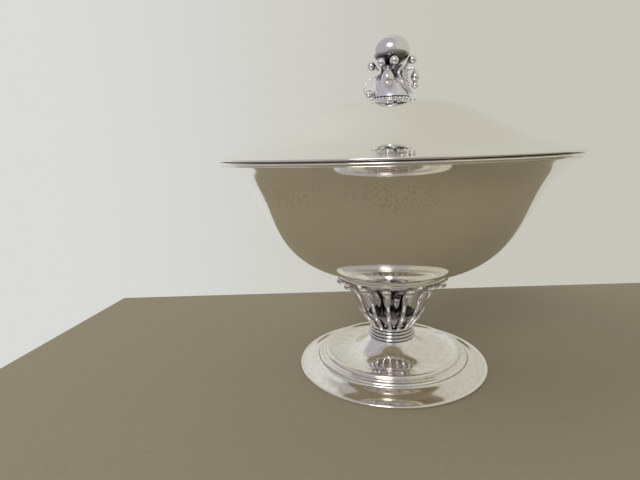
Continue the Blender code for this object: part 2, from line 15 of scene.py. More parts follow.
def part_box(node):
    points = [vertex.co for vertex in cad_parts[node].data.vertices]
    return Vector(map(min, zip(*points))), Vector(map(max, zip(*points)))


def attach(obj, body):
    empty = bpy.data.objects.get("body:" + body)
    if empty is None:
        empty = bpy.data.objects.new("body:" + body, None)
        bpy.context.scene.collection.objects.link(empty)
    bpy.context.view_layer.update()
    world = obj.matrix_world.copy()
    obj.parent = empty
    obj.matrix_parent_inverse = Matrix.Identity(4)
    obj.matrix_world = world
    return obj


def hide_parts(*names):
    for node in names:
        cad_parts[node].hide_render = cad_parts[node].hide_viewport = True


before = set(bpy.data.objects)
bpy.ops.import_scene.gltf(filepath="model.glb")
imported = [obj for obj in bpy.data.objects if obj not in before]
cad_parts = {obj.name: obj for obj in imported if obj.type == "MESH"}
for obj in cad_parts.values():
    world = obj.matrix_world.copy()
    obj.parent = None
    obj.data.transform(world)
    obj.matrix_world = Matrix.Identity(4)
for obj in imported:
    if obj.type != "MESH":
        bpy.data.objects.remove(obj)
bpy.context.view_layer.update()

MM = 0.001
FINE_STEPS = 288                  # facets round a large turned piece
SMALL_STEPS = 144                 # facets round a small turned piece
FRONT = -90.0                     # degrees; the side that faces the camera


def low(node):
    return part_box(node)[0]


def high(node):
    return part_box(node)[1]


# ---------------------------------------------------------------- curves

def spline(points, count):
    """A fair curve (natural cubic spline) through points, with `count` samples."""
    p = np.array([tuple(q) for q in points], float)
    t = np.concatenate([[0.0], np.cumsum(np.linalg.norm(np.diff(p, axis=0), axis=1))])
    n = len(p)
    h = np.diff(t)
    system = np.eye(n)
    right = np.zeros_like(p)
    for i in range(1, n - 1):
        system[i, i - 1:i + 2] = h[i - 1], 2 * (h[i - 1] + h[i]), h[i]
        right[i] = 6 * ((p[i + 1] - p[i]) / h[i] - (p[i] - p[i - 1]) / h[i - 1])
    bend = np.linalg.solve(system, right)
    line = []
    for s in np.linspace(0, t[-1], count):
        i = min(np.searchsorted(t, s, side="right") - 1, n - 2)
        a = (t[i + 1] - s) / h[i]
        b = 1 - a
        line.append(a * p[i] + b * p[i + 1]
                    + ((a ** 3 - a) * bend[i] + (b ** 3 - b) * bend[i + 1]) * h[i] ** 2 / 6)
    return [Vector(q) for q in line]


def arc(centre, radius, start, end, steps=10):
    """Points on a circular arc; angles in degrees, anticlockwise from +X."""
    points = []
    for k in range(steps + 1):
        angle = math.radians(start + (end - start) * k / steps)
        points.append(Vector(centre) + radius * Vector((math.cos(angle), math.sin(angle))))
    return points


def offset_line(points, distance):
    """The same line moved sideways, to the right of its direction, by a distance."""
    moved = []
    last = len(points) - 1
    for i, point in enumerate(points):
        along = (Vector(points[min(i + 1, last)]) - Vector(points[max(i - 1, 0)])).normalized()
        moved.append(Vector(point) + distance * Vector((along.y, -along.x)))
    return moved


def around(angle, radius, height):
    """A point at an angle in degrees, a radius and a height about the bowl's axis."""
    turn = math.radians(angle)
    return Vector((radius * math.cos(turn), radius * math.sin(turn), height))


# ---------------------------------------------------------------- pieces

def add_piece(name, verts, faces, finish, body, nodes, sharp=40):
    """Makes a mesh piece that rides on a body and stands for CAD nodes."""
    mesh = bpy.data.meshes.new(name)
    mesh.from_pydata([tuple(v) for v in verts], [], faces)
    mesh.validate()
    mesh.shade_smooth()
    mesh.set_sharp_from_angle(angle=math.radians(sharp))
    mesh.materials.append(finish)
    piece = bpy.data.objects.new(name, mesh)
    bpy.context.collection.objects.link(piece)
    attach(piece, body)
    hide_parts(*nodes)
    return piece


def turned_mesh(outline, steps, closed=True, shape=None, first=0):
    """Vertices and faces of an outline of (radius, height) spun about the Z axis.

    shape(radius, height, angle) may move a point, for flutes and lobes.
    """
    verts = []
    faces = []
    rings = []
    for radius, height in outline:
        start = first + len(verts)
        if radius < 1e-7:
            verts.append(Vector((0, 0, height)))
            rings.append([start])
            continue
        for k in range(steps):
            angle = math.tau * k / steps
            r, z = shape(radius, height, angle) if shape else (radius, height)
            verts.append(Vector((r * math.cos(angle), r * math.sin(angle), z)))
        rings.append(list(range(start, start + steps)))
    pairs = list(zip(rings, rings[1:]))
    if closed:
        pairs.append((rings[-1], rings[0]))
    for a, b in pairs:
        for k in range(steps):
            corners = [a[k % len(a)], a[(k + 1) % steps % len(a)],
                       b[(k + 1) % steps % len(b)], b[k % len(b)]]
            corners = list(dict.fromkeys(corners))
            if len(corners) > 2:
                faces.append(corners)
    return verts, faces


def turned(name, outline, finish, body, nodes, steps=FINE_STEPS, closed=True, shape=None, sharp=40):
    verts, faces = turned_mesh(outline, steps, closed, shape)
    return add_piece(name, verts, faces, finish, body, nodes, sharp)


def rod_mesh(path, radii, sides=16, flatten=1.0, first=0):
    """Vertices and faces of a rod along a path; flatten squeezes it radially."""
    path = [Vector(p) for p in path]
    last = len(path) - 1
    verts = []
    faces = []
    rings = []
    for i, (point, radius) in enumerate(zip(path, radii)):
        along = (path[min(i + 1, last)] - path[max(i - 1, 0)]).normalized()
        outward = Vector((point.x, point.y, 0)).normalized()
        side = along.cross(outward).normalized()
        normal = side.cross(along)
        start = first + len(verts)
        if radius <= 0:
            verts.append(point)
            rings.append([start])
            continue
        for k in range(sides):
            angle = math.tau * k / sides
            verts.append(point + radius * (side * math.cos(angle) + normal * math.sin(angle) * flatten))
        rings.append(list(range(start, start + sides)))
    for a, b in zip(rings, rings[1:]):
        for k in range(sides):
            corners = [a[k % len(a)], a[(k + 1) % sides % len(a)],
                       b[(k + 1) % sides % len(b)], b[k % len(b)]]
            corners = list(dict.fromkeys(corners))
            if len(corners) > 2:
                faces.append(corners)
    for ring, turn in ((rings[0], -1), (rings[-1], 1)):
        if len(ring) > 1:
            faces.append(ring[::turn])
    return verts, faces


def ball_mesh(centre, radius, tall=1.0, first=0, steps=12):
    """Vertices and faces of a small ball, for granules and beads."""
    verts = [Vector(centre) + Vector((0, 0, radius * tall))]
    for i in range(1, steps):
        tilt = math.pi * i / steps
        for k in range(2 * steps):
            angle = math.pi * k / steps
            verts.append(Vector(centre) + radius * Vector((math.sin(tilt) * math.cos(angle),
                                                           math.sin(tilt) * math.sin(angle),
                                                           math.cos(tilt) * tall)))
    verts.append(Vector(centre) - Vector((0, 0, radius * tall)))
    ring = 2 * steps
    faces = []
    for k in range(ring):
        faces.append([first, first + 1 + k, first + 1 + (k + 1) % ring])
        end = first + len(verts) - 1
        row = end - ring
        faces.append([end, row + (k + 1) % ring, row + k])
    for i in range(steps - 2):
        for k in range(ring):
            a = first + 1 + i * ring
            b = a + ring
            faces.append([a + k, b + k, b + (k + 1) % ring, a + (k + 1) % ring])
    return verts, faces


class Builder:
    """Collects the shells of one piece."""

    def __init__(self):
        self.verts = []
        self.faces = []

    def add(self, maker, *args, **kwargs):
        verts, faces = maker(*args, first=len(self.verts), **kwargs)
        self.verts += verts
        self.faces += faces

    def piece(self, name, finish, body, nodes, sharp=50):
        return add_piece(name, self.verts, self.faces, finish, body, nodes, sharp)


def bead_end(path, radii, centre, radius, steps=14):
    """Carries a stem on into a round bead, as one surface of revolution."""
    path = [Vector(p) for p in path]
    along = (Vector(centre) - path[-1]).normalized()
    start = math.asin(min(1.0, radii[-1] / radius))
    near = Vector(centre) - along * radius * math.cos(start)
    while len(path) > 2 and (path[-1] - near).dot(along) > -0.05 * radius:
        path.pop()
        radii = radii[:-1]
    for k in range(steps + 1):
        angle = start + (math.pi - start) * k / steps
        path.append(Vector(centre) - along * radius * math.cos(angle))
        radii = radii + [0.0 if k == steps else radius * math.sin(angle)]
    return path, radii


# ---------------------------------------------------------------- materials

def node(tree, kind, **settings):
    made = tree.nodes.new(kind)
    for key, value in settings.items():
        setattr(made, key, value)
    return made


def ranged(tree, value, start, end, low_value, high_value, smooth=True):
    """A value carried from one range to another, held at its ends."""
    made = node(tree, "ShaderNodeMapRange", interpolation_type="SMOOTHSTEP" if smooth else "LINEAR")
    limits = {"From Min": start, "From Max": end, "To Min": low_value, "To Max": high_value}
    for socket, number in limits.items():
        made.inputs[socket].default_value = number
    tree.links.new(value, made.inputs["Value"])
    return made.outputs["Result"]


def product(tree, first, second):
    made = node(tree, "ShaderNodeMath", operation="MULTIPLY")
    tree.links.new(first, made.inputs[0])
    tree.links.new(second, made.inputs[1])
    return made.outputs["Value"]


def darkened(tree, shade, dark, amount):
    """A colour carried toward a dark one by an amount from 0 to 1."""
    mixed = node(tree, "ShaderNodeMix", data_type="RGBA")
    mixed.inputs["B"].default_value = (*dark, 1)
    tree.links.new(amount, mixed.inputs["Factor"])
    tree.links.new(shade, mixed.inputs["A"])
    return mixed.outputs["Result"]


MARK_STRENGTH = 0.26              # how dark the tarnish marks are, 0 to 1


def marked(tree, place, shade, dark, band):
    """Small upright tarnish marks, in drifts within a band of height."""
    link = tree.links.new
    upright = node(tree, "ShaderNodeMapping")
    upright.inputs["Scale"].default_value = (1.0, 1.0, 0.22)
    link(place, upright.inputs["Vector"])
    marks = node(tree, "ShaderNodeTexVoronoi")
    marks.inputs["Scale"].default_value = 1100.0
    link(upright.outputs["Vector"], marks.inputs["Vector"])
    drift = node(tree, "ShaderNodeTexNoise")
    drift.inputs["Scale"].default_value = 42.0
    drift.inputs["Detail"].default_value = 3.0
    link(place, drift.inputs["Vector"])
    size = ranged(tree, drift.outputs["Fac"], 0.34, 0.62, 0.0, 0.40)
    inside = node(tree, "ShaderNodeMath", operation="LESS_THAN")
    link(marks.outputs["Distance"], inside.inputs[0])
    link(size, inside.inputs[1])
    split = node(tree, "ShaderNodeSeparateXYZ")
    link(place, split.inputs["Vector"])
    foot_edge, head_edge = band
    soft = 0.35 * (head_edge - foot_edge)
    above = ranged(tree, split.outputs["Z"], foot_edge - soft, foot_edge + soft, 0.0, 1.0)
    below = ranged(tree, split.outputs["Z"], head_edge - soft, head_edge + soft, MARK_STRENGTH, 0.0)
    amount = product(tree, product(tree, above, below), inside.outputs["Value"])
    return darkened(tree, shade, dark, amount)


def mottled(tree, place, shade, dark, amount):
    """Fine cloudy tarnish over the whole surface."""
    cloud = node(tree, "ShaderNodeTexNoise")
    cloud.inputs["Scale"].default_value = 480.0
    cloud.inputs["Detail"].default_value = 6.0
    cloud.inputs["Roughness"].default_value = 0.7
    tree.links.new(place, cloud.inputs["Vector"])
    cover = ranged(tree, cloud.outputs["Fac"], 0.40, 0.72, 0.0, amount)
    return darkened(tree, shade, dark, cover)


def facing_in(tree, place):
    """1 where a turned surface faces its axis, 0 where it faces out."""
    link = tree.links.new
    flat = node(tree, "ShaderNodeMapping")
    flat.inputs["Scale"].default_value = (1000.0, 1000.0, 0.0)
    link(place, flat.inputs["Vector"])
    normal = node(tree, "ShaderNodeNewGeometry").outputs["Normal"]
    dot = node(tree, "ShaderNodeVectorMath", operation="DOT_PRODUCT")
    link(flat.outputs["Vector"], dot.inputs[0])
    link(normal, dot.inputs[1])
    return ranged(tree, dot.outputs["Value"], -1.0, 0.0, 0.97, 0.0)


def silver(name, slot, colour, dark, roughness, wave=0.0, grain=0.0, band=None, recess_shade=0.0, reach=2.0 * MM,
           mottle=0.0, painted_shade=None, painted_shade_inside=False):
    """Polished silver: smudges vary its roughness, and a bump gives it its worked surface.

    wave is the height of the broad hammered waviness and grain that of the fine scratches.
    band is the lowest and highest place of small upright tarnish marks, and recess_shade is
    how dark painted shade makes the metal in hollows narrower than reach. mottle is the
    strength of cloudy tarnish, painted_shade is two heights and how dark painted shade is at
    each, and painted_shade_inside blackens the faces turned to the axis as painted shade.
    """
    made = bpy.data.materials.new(name)
    made.use_nodes = True
    made["slot"] = slot
    tree = made.node_tree
    link = tree.links.new
    shader = tree.nodes["Principled BSDF"]
    shader.inputs["Metallic"].default_value = 1.0
    place = node(tree, "ShaderNodeTexCoord").outputs["Object"]

    smudge = node(tree, "ShaderNodeTexNoise")
    smudge.inputs["Scale"].default_value = 90.0
    smudge.inputs["Detail"].default_value = 5.0
    link(place, smudge.inputs["Vector"])
    rough = ranged(tree, smudge.outputs["Fac"], 0.35, 0.70, roughness, roughness * 1.9, smooth=False)
    link(rough, shader.inputs["Roughness"])

    tone = node(tree, "ShaderNodeTexNoise")
    tone.inputs["Scale"].default_value = 35.0
    tone.inputs["Detail"].default_value = 3.0
    link(place, tone.inputs["Vector"])
    warm = node(tree, "ShaderNodeMix", data_type="RGBA")
    warm.inputs["A"].default_value = (*colour, 1)
    warm.inputs["B"].default_value = (*[c * k for c, k in zip(colour, (0.985, 0.965, 0.925))], 1)
    link(tone.outputs["Fac"], warm.inputs["Factor"])
    shade = warm.outputs["Result"]

    if band:
        shade = marked(tree, place, shade, dark, band)
    if mottle:
        shade = mottled(tree, place, shade, dark, mottle)
    # Painted shade: darker between two heights, for shade under or behind parts.
    if painted_shade:
        split = node(tree, "ShaderNodeSeparateXYZ")
        link(place, split.inputs["Vector"])
        shade = darkened(tree, shade, dark, ranged(tree, split.outputs["Z"], *painted_shade))
    # Painted shade: faces turned to the axis go near black, for the shade inside the cup.
    if painted_shade_inside:
        shade = darkened(tree, shade, dark, facing_in(tree, place))
    # Painted shade: ambient occlusion darkens the base colour in hollows and grooves narrower than reach.
    if recess_shade:
        hollow = node(tree, "ShaderNodeAmbientOcclusion", samples=8)
        hollow.inputs["Distance"].default_value = reach
        depth = ranged(tree, hollow.outputs["AO"], 0.25, 0.80, recess_shade, 0.0, smooth=False)
        shade = darkened(tree, shade, dark, depth)
    link(shade, shader.inputs["Base Color"])

    broad = node(tree, "ShaderNodeTexNoise")
    broad.inputs["Scale"].default_value = 150.0
    broad.inputs["Detail"].default_value = 1.0
    link(place, broad.inputs["Vector"])
    worked = node(tree, "ShaderNodeBump")
    worked.inputs["Strength"].default_value = 1.0
    worked.inputs["Distance"].default_value = wave
    link(broad.outputs["Fac"], worked.inputs["Height"])
    scratch = node(tree, "ShaderNodeTexNoise")
    scratch.inputs["Scale"].default_value = 2600.0
    scratch.inputs["Detail"].default_value = 2.0
    scratch.inputs["Distortion"].default_value = 1.5
    link(place, scratch.inputs["Vector"])
    fine = node(tree, "ShaderNodeBump")
    fine.inputs["Strength"].default_value = 1.0
    fine.inputs["Distance"].default_value = grain
    link(scratch.outputs["Fac"], fine.inputs["Height"])
    link(worked.outputs["Normal"], fine.inputs["Normal"])
    link(fine.outputs["Normal"], shader.inputs["Normal"])
    return made


SILVER = (0.93, 0.915, 0.875)
COOL_SILVER = (0.86, 0.84, 0.86)
DULL_SILVER = (0.74, 0.72, 0.74)
# Dark colours: the first for real tarnish marks and mottling and for painted shade in the foot's grooves;
# the second for painted shade in hollows, under and inside parts, and for cloudy tarnish.
TARNISH_AND_SHADE = (0.30, 0.26, 0.20)
SHADE_AND_TARNISH_BLACK = (0.030, 0.028, 0.027)
FRUIT_PAINTED_SHADE = (8.8 * MM, 6.8 * MM)       # below the fruit's top: fully dark, clean; painted shade on its underside
BELL_PAINTED_SHADE = (5.4 * MM, 7.6 * MM)        # above the bell's base: clean, fully dark; painted shade behind the berries and pods
BODY = silver("raised_silver", "polished_silver", SILVER, TARNISH_AND_SHADE, 0.06,
              wave=0.010 * MM, grain=0.0002 * MM, band=(77.0 * MM, 86.5 * MM))
DOME = silver("lid_silver", "polished_silver", SILVER, TARNISH_AND_SHADE, 0.055,
              wave=0.010 * MM, grain=0.0002 * MM)
POLISHED = silver("turned_silver", "polished_silver", SILVER, TARNISH_AND_SHADE, 0.06,
                  wave=0.008 * MM, grain=0.0002 * MM)
# Painted shade in the foot's grooves; the cloudy mottle is tarnish.
FOOT = silver("foot_silver", "polished_silver", SILVER, TARNISH_AND_SHADE, 0.07,
              wave=0.014 * MM, grain=0.0003 * MM, recess_shade=0.80, reach=0.7 * MM, mottle=0.20)
# Painted shade in the fruit's hollows and on its underside.
FRUIT = silver("fruit_silver", "polished_silver", COOL_SILVER, SHADE_AND_TARNISH_BLACK, 0.12,
               wave=0.03 * MM, grain=0.0005 * MM, recess_shade=0.70, reach=1.2 * MM,
               painted_shade=(*[high("finial_fruit").z - drop for drop in FRUIT_PAINTED_SHADE], 0.90, 0.0))
# Painted shade in the bell's hollows and on its top, behind the berries and pods.
BELL = silver("bell_silver", "polished_silver", (0.93, 0.91, 0.95), SHADE_AND_TARNISH_BLACK, 0.20,
              wave=0.03 * MM, grain=0.0008 * MM, recess_shade=0.45, reach=1.6 * MM,
              painted_shade=(*[low("finial_pedestal").z + rise for rise in BELL_PAINTED_SHADE], 0.0, 0.88))
# Painted shade in the hollows round the cast parts.
CAST = silver("cast_silver", "cast_silver", COOL_SILVER, SHADE_AND_TARNISH_BLACK, 0.09,
              wave=0.03 * MM, grain=0.0006 * MM, recess_shade=0.75, reach=1.2 * MM)
# Painted shade between the granules.
GRAINED = silver("granule_silver", "cast_silver", COOL_SILVER, SHADE_AND_TARNISH_BLACK, 0.12,
                 wave=0.02 * MM, grain=0.0006 * MM, recess_shade=0.90, reach=0.6 * MM)
# Painted shade between the reeds.
REEDED = silver("reeded_silver", "cast_silver", DULL_SILVER, SHADE_AND_TARNISH_BLACK, 0.10,
                wave=0.02 * MM, grain=0.0006 * MM, recess_shade=0.85, reach=0.9 * MM)
# Painted shade: the cup has a darker base colour, a near-black inside and darkened hollows, for the shade
# inside the cage.
CUP = silver("cup_silver", "oxidised_silver", (0.74, 0.72, 0.77), SHADE_AND_TARNISH_BLACK, 0.16,
             wave=0.03 * MM, grain=0.001 * MM, recess_shade=0.60, reach=1.0 * MM, painted_shade_inside=True)
# Painted shade: the core has a darker base colour and near-black hollows, for the shade inside the cage;
# its cloudy mottle is tarnish.
SHADED = silver("oxidised_silver", "oxidised_silver", (0.70, 0.68, 0.71), SHADE_AND_TARNISH_BLACK, 0.12,
                wave=0.03 * MM, grain=0.001 * MM, recess_shade=0.98, reach=1.6 * MM, mottle=0.12)
# Painted shade in the seat's grooves.
SEATED = silver("seat_silver", "polished_silver", SILVER, SHADE_AND_TARNISH_BLACK, 0.05,
                wave=0.006 * MM, grain=0.0002 * MM, recess_shade=0.85, reach=0.35 * MM)


# ---------------------------------------------------------------- foot and neck

WIRE_HEIGHT = high("foot_rim_wire").z
FOOT_RADIUS = high("foot_rim_wire").x
FLANGE_RADIUS = high("foot_shell").x
TRUMPET_TOP = high("foot_shell").z
FOOT_WALL = 0.9 * MM
STEP_ROLL = ((32.35 * MM, 4.55 * MM), 1.15 * MM)      # centre and radius of the lower roll
CREST_ROLL = ((29.25 * MM, 6.15 * MM), 1.2 * MM)      # centre and radius of the upper roll
TRUMPET_RADIUS = 10.1 * MM


def foot_line():
    """Upper face of the foot, from the flange's edge to the top of the trumpet."""
    step_centre, step_radius = STEP_ROLL
    crest_centre, crest_radius = CREST_ROLL
    step_outer = Vector(step_centre) + Vector((step_radius, -0.1 * MM))
    flange = spline([(FLANGE_RADIUS + 0.45 * MM, 1.2 * MM), (39.3 * MM, 1.72 * MM),
                     (37.3 * MM, 2.58 * MM), (35.4 * MM, 3.43 * MM), (34.1 * MM, 3.93 * MM),
                     (step_outer.x + 0.15 * MM, 4.22 * MM)], 40)
    step = arc(step_centre, step_radius, 0, 84, 12)
    cove = spline([step[-1] + Vector((-0.35 * MM, 0.0)), (31.3 * MM, 5.62 * MM),
                   Vector(crest_centre) + Vector((crest_radius, -0.32 * MM))], 8)
    crest = arc(crest_centre, crest_radius, -4, 138, 18)
    dish = spline([crest[-1] + Vector((-0.12 * MM, -0.12 * MM)), (27.2 * MM, 6.15 * MM),
                   (25.0 * MM, 5.55 * MM), (22.0 * MM, 5.3 * MM), (18.8 * MM, 5.75 * MM),
                   (15.6 * MM, 7.2 * MM), (12.9 * MM, 9.5 * MM), (11.0 * MM, 11.5 * MM),
                   (TRUMPET_RADIUS, TRUMPET_TOP)], 60)
    return flange + step + cove + crest + dish


def foot():
    face = foot_line()
    under = offset_line(spline([face[0], (36.0 * MM, 2.7 * MM), (32.3 * MM, 5.0 * MM),
                                (29.0 * MM, 6.6 * MM), (25.0 * MM, 5.55 * MM), (22.0 * MM, 5.3 * MM),
                                (18.8 * MM, 5.75 * MM), (15.6 * MM, 7.2 * MM), (12.9 * MM, 9.5 * MM),
                                (TRUMPET_RADIUS, TRUMPET_TOP)], 70), -FOOT_WALL)
    under[0] = Vector((FLANGE_RADIUS, low("foot_shell").z))
    under[-1] = Vector((TRUMPET_RADIUS - FOOT_WALL, TRUMPET_TOP))
    turned("foot_turned", face + under[::-1], FOOT, "bowl", ["foot_shell"])
    half = WIRE_HEIGHT / 2
    centre = (FOOT_RADIUS - half, half)
    ring = arc(centre, half, -60, 200, 26)
    outline = [Vector((centre[0] - half, 0)), Vector((centre[0] + 0.5 * half, 0))] + ring
    turned("foot_wire", outline, POLISHED, "bowl", ["foot_rim_wire"])


REED_COUNT = 4


def neck():
    """Reeded collar: half-round reeds, the lowest the fullest."""
    base, top = low("neck_ring").z, high("neck_ring").z
    wide = high("neck_ring").x + 0.05 * MM
    narrow = wide - 1.15 * MM
    outline = []
    for k in range(REED_COUNT):
        tall = (top - base) / REED_COUNT
        centre_z = base + (k + 0.5) * tall
        reach = wide + (narrow - wide) * k / (REED_COUNT - 1) - 0.5 * tall
        outline += arc((reach, centre_z), 0.49 * tall, -78, 78, 12)
    outline += [Vector((6.0 * MM, top)), Vector((6.0 * MM, base))]
    turned("neck_reeds", outline, REEDED, "bowl", ["neck_ring"], SMALL_STEPS)


# ---------------------------------------------------------------- stem cage

STALK_COUNT = 15
FIRST_STALK = FRONT - 5.0
STALK_BASE_RADIUS = 8.75 * MM
STALK_FOOT = low("stalk_01").z
STALK_RADIUS = 0.85 * MM
BUD_PLACE = 0.80                  # share of a stalk's length where its bud is fullest
BUD_SPREAD = 0.13
BUD_SWELL = 0.50 * MM
ROOT_SPREAD = 0.06
BEAD_RADIUS = 1.85 * MM
BEAD_RING = high("bowl_seat").x - 0.92 * BEAD_RADIUS
BEAD_Z = high("stalk_01").z - BEAD_RADIUS


def stalk_line(count):
    """Middle line of a stalk as (radius, height), up to just inside its bead."""
    run = BEAD_RING - STALK_BASE_RADIUS
    climb = BEAD_Z - STALK_FOOT
    shares = ((0, 0), (0.09, 0.09), (0.30, 0.28), (0.47, 0.52), (0.585, 0.74), (0.74, 0.90), (0.94, 0.975))
    return spline([(STALK_BASE_RADIUS + r * run, STALK_FOOT + z * climb) for r, z in shares], count)


def stalk(number):
    angle = FIRST_STALK + number * 360.0 / STALK_COUNT
    line = stalk_line(40)
    path = [around(angle, p.x, p.y) for p in line]
    radii = []
    for i in range(len(line)):
        share = i / (len(line) - 1)
        bud = math.exp(-((share - BUD_PLACE) / BUD_SPREAD) ** 2)
        root = math.exp(-(share / ROOT_SPREAD) ** 2)
        radii.append(STALK_RADIUS * (0.95 + 0.25 * root) + BUD_SWELL * bud)
    path, radii = bead_end(path, radii, around(angle, BEAD_RING, BEAD_Z), BEAD_RADIUS)
    build = Builder()
    build.add(rod_mesh, path, radii, sides=20)
    build.piece(f"berry_stalk_{number + 1:02d}", CAST, "bowl", [f"stalk_{number + 1:02d}"], sharp=60)


def cage():
    for number in range(STALK_COUNT):
        stalk(number)
    floor = low("calyx_cup").z
    lip = high("calyx_cup").z
    side = [p for p in offset_line(stalk_line(60), -(STALK_RADIUS + 0.3 * MM)) if p.y <= lip]
    inside = [p for p in offset_line(side, -0.8 * MM) if p.y > floor + 1.0 * MM]
    outline = [Vector((0, floor))] + side + inside[::-1] + [Vector((0, floor + 1.0 * MM))]
    build = Builder()
    build.add(turned_mesh, outline, SMALL_STEPS, closed=False)
    for number in range(STALK_COUNT):
        angle = FIRST_STALK + (number + 0.5) * 360.0 / STALK_COUNT
        build.add(ball_mesh, around(angle, 8.7 * MM, floor + 1.1 * MM), 0.62 * MM)
    build.piece("calyx", CUP, "bowl", ["calyx_cup"])
    core()


PETAL_COUNT = 10
FIRST_PETAL = FRONT - 18.0
PETAL_WIDTH = 1.6 * MM            # half width at a petal's widest
# Radius in millimetres and share of the funnel's height.
CORE_OUTLINE = ((1.3, 0.0), (1.7, 0.05), (3.2, 0.12), (4.6, 0.25), (5.4, 0.42), (6.2, 0.55),
                (8.2, 0.66), (12.2, 0.76), (15.9, 0.88))
PETAL_LINE = ((12.9, 0.78), (9.2, 0.68), (7.3, 0.55), (6.6, 0.40), (6.0, 0.26), (5.0, 0.13))


def core():
    """Funnel under the seat with pointed petals hanging down it into the cup."""
    base, top = low("stem_core").z, high("stem_core").z
    flare = high("stem_core").x
    build = Builder()
    side = spline([(r * MM, base + z * (top - base)) for r, z in CORE_OUTLINE] + [(flare, top)], 50)
    build.add(turned_mesh, [Vector((0, base))] + side + [Vector((0, top))], SMALL_STEPS, closed=False)
    for number in range(PETAL_COUNT):
        angle = FIRST_PETAL + number * 360.0 / PETAL_COUNT
        path = spline([around(angle, r * MM, base + z * (top - base)) for r, z in PETAL_LINE], 44)
        radii = [PETAL_WIDTH * math.sin(math.pi * (0.30 + 0.70 * i / 43)) ** 0.60 for i in range(44)]
        radii[-1] = 0.0
        build.add(rod_mesh, path, radii, sides=28, flatten=0.75)
    build.piece("stem_petals", SHADED, "bowl", ["stem_core"], sharp=60)


# ---------------------------------------------------------------- seat and bowl

def seat():
    """Saucer under the bowl: a rounded rim and two shallow bands that meet the bowl's underside."""
    under = low("bowl_seat").z
    reach = high("bowl_seat").x
    half = 0.60 * MM
    band = 0.45 * MM
    outline = [Vector((0, under))] + arc((reach - half, under + half), half, -90, 92, 18)
    outline += arc((reach - 1.35 * MM, under + 2 * half + band - 0.10 * MM), band, -30, 95, 10)
    outline += arc((reach - 2.05 * MM, under + 2 * half + 2.75 * band - 0.10 * MM), band, -30, 100, 10)
    outline += [Vector((0, outline[-1].y))]
    turned("seat_saucer", outline, SEATED, "bowl", ["bowl_seat"], closed=False)


BOWL_BASE = low("bowl_shell").z
BOWL_EDGE = high("bowl_shell").z
BOWL_EDGE_RADIUS = high("bowl_shell").x
BOWL_FLAT = 15.0 * MM
SHEET = 0.9 * MM


def bowl():
    """Round belly that turns outward to a wide flared rim."""
    run = BOWL_EDGE_RADIUS - BOWL_FLAT
    climb = BOWL_EDGE - BOWL_BASE
    shares = ((0.0, 0.0), (0.255, 0.032), (0.467, 0.163), (0.626, 0.372), (0.741, 0.621),
              (0.850, 0.850), (0.927, 0.942), (1.0, 0.997))
    side = [(BOWL_FLAT + r * run, BOWL_BASE + z * climb) for r, z in shares]
    curve = spline([(0.0, BOWL_BASE)] + side, 150)
    outside = [Vector((0, BOWL_BASE))] + [Vector((p.x, max(p.y, BOWL_BASE))) for p in curve[1:]]
    inside = offset_line(outside, -SHEET)
    inside[0] = Vector((0, BOWL_BASE + SHEET))
    inside[-1] = Vector((BOWL_EDGE_RADIUS - SHEET, BOWL_EDGE))
    turned("bowl_body", outside + inside[::-1], BODY, "bowl", ["bowl_shell"], closed=False)
    bottom, top = low("bowl_rim_wire").z, high("bowl_rim_wire").z
    reach = high("bowl_rim_wire").x
    half = (top - bottom) / 2
    outline = [Vector((reach - 1.6 * MM, bottom))] + arc((reach - half, bottom + half), half, -90, 90, 16)
    outline += [Vector((reach - 1.6 * MM, top))]
    turned("bowl_edge_wire", outline, POLISHED, "bowl", ["bowl_rim_wire"])


# ---------------------------------------------------------------- lid

LID_REST = low("lid_shell").z
LID_TOP = high("lid_shell").z
LID_RADIUS = high("lid_shell").x
STUD_HOLE = 1.6 * MM


def lid():
    """Shallow dome that flares out to a nearly level brim."""
    rise = LID_TOP - LID_REST
    shares = ((1.0 - 0.4 * MM / LID_RADIUS, 0.036), (0.94, 0.072), (0.87, 0.122), (0.703, 0.322),
              (0.538, 0.628), (0.372, 0.890), (0.207, 0.985), (0.09, 1.0))
    face = spline([(r * LID_RADIUS, LID_REST + z * rise) for r, z in shares], 150)
    face = [Vector((p.x, min(p.y, LID_TOP))) for p in face]
    inside = offset_line(face, -SHEET)
    inside[0] = Vector((face[2].x, LID_REST))
    edge = arc((LID_RADIUS - 0.38 * MM, LID_REST + 0.38 * MM), 0.38 * MM, -90, 60, 10)
    hole = [Vector((STUD_HOLE, LID_TOP)), Vector((STUD_HOLE, LID_TOP - SHEET))]
    inside = [Vector((p.x, max(p.y, LID_REST))) for p in inside]
    turned("lid_dome", edge + face + hole + inside[::-1], DOME, "lid", ["lid_shell"])
    bottom, top = low("lid_bezel").z, high("lid_bezel").z
    outer = high("lid_bezel").x
    lip = 0.3 * MM
    outline = [Vector((outer - 1.0 * MM, bottom))] + arc((outer - lip, bottom + lip), lip, -90, 0, 6)
    outline += [Vector((outer, top)), Vector((outer - 1.0 * MM, top))]
    turned("lid_flange", outline, POLISHED, "lid", ["lid_bezel"])


# ---------------------------------------------------------------- finial

RING_BASE = low("finial_base_ring").z
RING_TOP = high("finial_base_ring").z
RING_RADIUS = high("finial_base_ring").x
PEDESTAL_BASE = low("finial_pedestal").z
PEDESTAL_TOP = high("finial_pedestal").z
PEDESTAL_RADIUS = high("finial_pedestal").x
WAIST = 4.3 * MM
FRUIT_RADIUS = high("finial_fruit").x
FRUIT_TOP = high("finial_fruit").z
FRUIT_BOTTOM = low("finial_fruit").z
FRUIT_MIDDLE = FRUIT_BOTTOM + 5.4 * MM        # height of the fruit's widest ring
BERRY_RADIUS = 1.8 * MM
GRANULE_COUNT = 28


